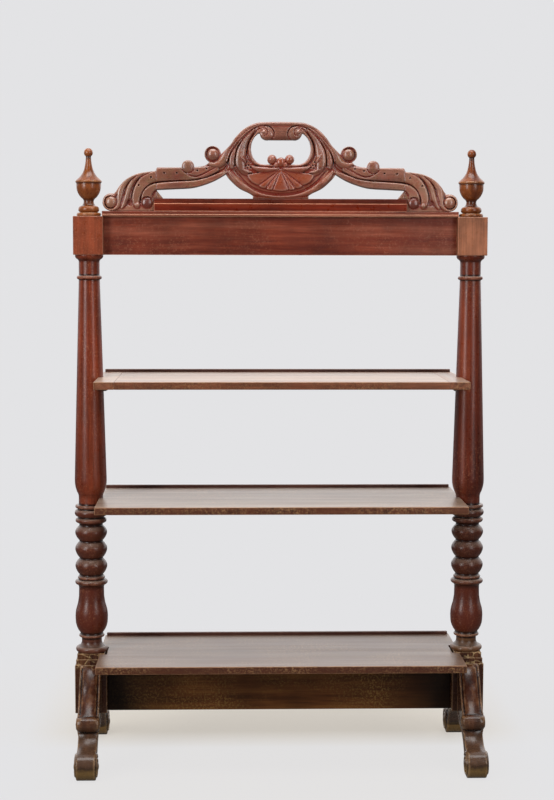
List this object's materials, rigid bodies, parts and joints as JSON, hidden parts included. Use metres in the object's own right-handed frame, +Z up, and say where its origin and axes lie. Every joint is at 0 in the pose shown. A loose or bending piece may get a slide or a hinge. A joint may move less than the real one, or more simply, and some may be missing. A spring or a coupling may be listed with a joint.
{
  "type": "etagere",
  "caption": "Open mahogany etagere: turned posts with urn finials carry notched shelves, an apron rail and a carved pierced crest on scroll-foot trestles.",
  "frame": {"origin": "on the floor, under the middle of the four feet", "axes": "+Z up, +X to the right along the shelves, front faces -Y"},
  "size_m": [0.9556, 0.434, 1.48],
  "materials": {
    "mahogany": "worn french polish",
    "crest_mahogany": "worn french polish",
    "finial_wood": "worn french polish",
    "shelf_wood": "glossy old varnish",
    "base_wood": "dark worn varnish",
    "dowel_wood": "bare",
    "screw_steel": "dull"
  },
  "bodies": {
    "root": {"left_post": "mahogany", "right_post": "mahogany", "apron_rail": "mahogany", "cap_board": "mahogany", "crest_base_rail": "crest_mahogany", "crest_center": "crest_mahogany", "crest_left_wing": "crest_mahogany", "crest_right_wing": "crest_mahogany", "crest_left_end": "crest_mahogany", "crest_right_end": "crest_mahogany", "left_finial": "finial_wood", "right_finial": "finial_wood", "upper_shelf": "shelf_wood", "upper_shelf_left_end": "shelf_wood", "upper_shelf_right_end": "shelf_wood", "middle_shelf": "shelf_wood", "bottom_shelf": "shelf_wood", "upper_shelf_lip": "shelf_wood", "middle_shelf_lip": "shelf_wood", "bottom_shelf_lip": "shelf_wood", "left_cleat": "base_wood", "right_cleat": "base_wood", "left_base_block": "base_wood", "right_base_block": "base_wood", "left_front_leg": "base_wood", "left_back_leg": "base_wood", "right_front_leg": "base_wood", "right_back_leg": "base_wood", "stretcher": "base_wood", "crest_dowels": "dowel_wood", "leg_dowels": "dowel_wood", "shelf_dowels": "dowel_wood", "cleat_screws": "screw_steel"}
  },
  "joints": []
}
